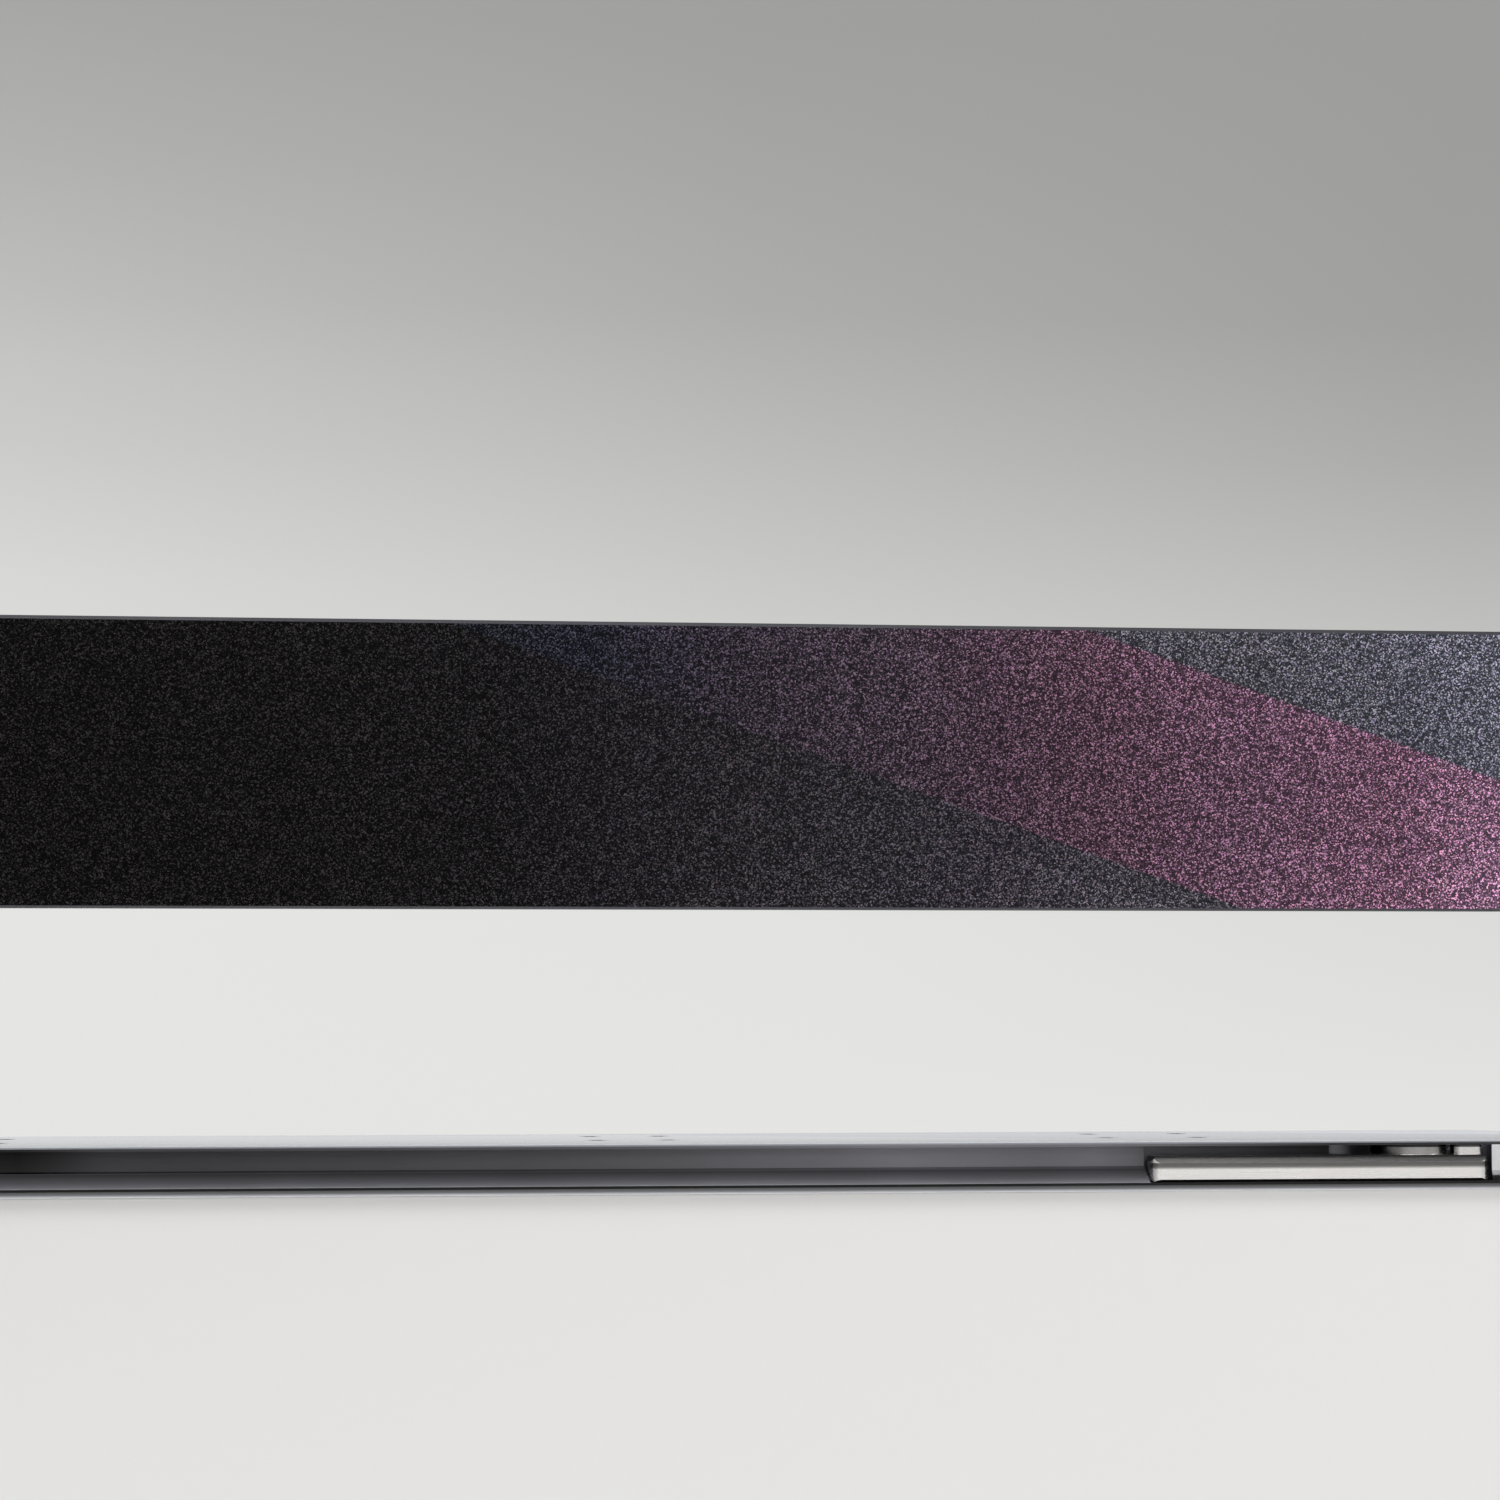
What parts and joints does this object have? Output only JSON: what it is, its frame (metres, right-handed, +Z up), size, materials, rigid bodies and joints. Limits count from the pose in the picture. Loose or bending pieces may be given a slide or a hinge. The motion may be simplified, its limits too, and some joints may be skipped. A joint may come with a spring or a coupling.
{
  "type": "splitboard",
  "caption": "Board for snow that splits lengthwise into two ski-like halves, with swing-out latch arms in the inner rail, tip and tail clips, and binding inserts.",
  "frame": {"origin": "on the ground under the middle of the box round both halves", "axes": "+X along the board to its nose, +Z up; the inner edges and the base of the standing half face -Y"},
  "size_m": [1.6, 0.146, 0.2645],
  "materials": {
    "topsheet": "satin printed sheet with fine metallic flake",
    "base_sheet": "dark sheet with fine sparkle and a broad diagonal stripe",
    "edge_steel": "ground steel",
    "glass_laminate": "glass fibre in resin",
    "rubber_strip": "matt black rubber",
    "wood_core": "poplar strips",
    "sidewall_plastic": "ground black plastic",
    "rail_aluminium": "grey anodised",
    "insert_steel": "plain steel",
    "housing_aluminium": "polished",
    "socket_aluminium": "plain",
    "arm_steel": "polished, warm",
    "clip_plate_plastic": "moulded black",
    "lever_steel": "satin",
    "pin_steel": "turned"
  },
  "bodies": {
    "lower_half": {"lower_base": "base_sheet", "lower_outer_edge": "edge_steel", "lower_inner_edge": "edge_steel", "lower_bottom_laminate": "glass_laminate", "lower_inner_seal": "rubber_strip", "lower_core": "wood_core", "lower_outer_sidewall": "sidewall_plastic", "lower_inner_rail": "rail_aluminium", "lower_tip_spacer": "sidewall_plastic", "lower_tail_spacer": "sidewall_plastic", "lower_top_laminate": "glass_laminate", "lower_topsheet": "topsheet", "lower_inserts": "insert_steel", "right_latch_housing": "housing_aluminium", "right_latch_pin": "pin_steel", "left_latch_housing": "housing_aluminium", "left_latch_pin": "pin_steel", "tip_clip_plate": "clip_plate_plastic", "tip_clip_pin": "pin_steel", "tail_clip_plate": "clip_plate_plastic", "tail_clip_pin": "pin_steel", "clip_screws": "insert_steel"},
    "upper_half": {"upper_base": "base_sheet", "upper_outer_edge": "edge_steel", "upper_inner_edge": "edge_steel", "upper_bottom_laminate": "glass_laminate", "upper_inner_seal": "rubber_strip", "upper_core": "wood_core", "upper_outer_sidewall": "sidewall_plastic", "upper_inner_rail": "rail_aluminium", "upper_tip_spacer": "sidewall_plastic", "upper_tail_spacer": "sidewall_plastic", "upper_top_laminate": "glass_laminate", "upper_topsheet": "topsheet", "upper_inserts": "insert_steel", "right_latch_socket": "socket_aluminium", "left_latch_socket": "socket_aluminium", "tip_stud": "pin_steel", "tail_stud": "pin_steel"},
    "right_arm": {"right_latch_arm": "arm_steel"},
    "left_arm": {"left_latch_arm": "arm_steel"},
    "tip_lever": {"tip_clip_lever": "lever_steel"},
    "tail_lever": {"tail_clip_lever": "lever_steel"}
  },
  "joints": [
    {"name": "join_halves", "type": "hinge", "parent": "lower_half", "child": "upper_half", "pos_m": [0, -0.0139, 0.0591], "axis": [1, 0, 0], "range_deg": [0, 90]},
    {"name": "right_arm_swing", "type": "hinge", "parent": "lower_half", "child": "right_arm", "pos_m": [0.364, -0.0536, 0.0105], "axis": [0, 0, 1], "range_deg": [0, 90]},
    {"name": "left_arm_swing", "type": "hinge", "parent": "lower_half", "child": "left_arm", "pos_m": [-0.364, -0.0536, 0.0105], "axis": [0, 0, -1], "range_deg": [0, 90]},
    {"name": "tip_lever_swing", "type": "hinge", "parent": "lower_half", "child": "tip_lever", "pos_m": [0.612, -0.057, 0.0118], "axis": [0, 0, 1], "range_deg": [0, 90]},
    {"name": "tail_lever_swing", "type": "hinge", "parent": "lower_half", "child": "tail_lever", "pos_m": [-0.612, -0.057, 0.0118], "axis": [0, 0, -1], "range_deg": [0, 90]}
  ]
}
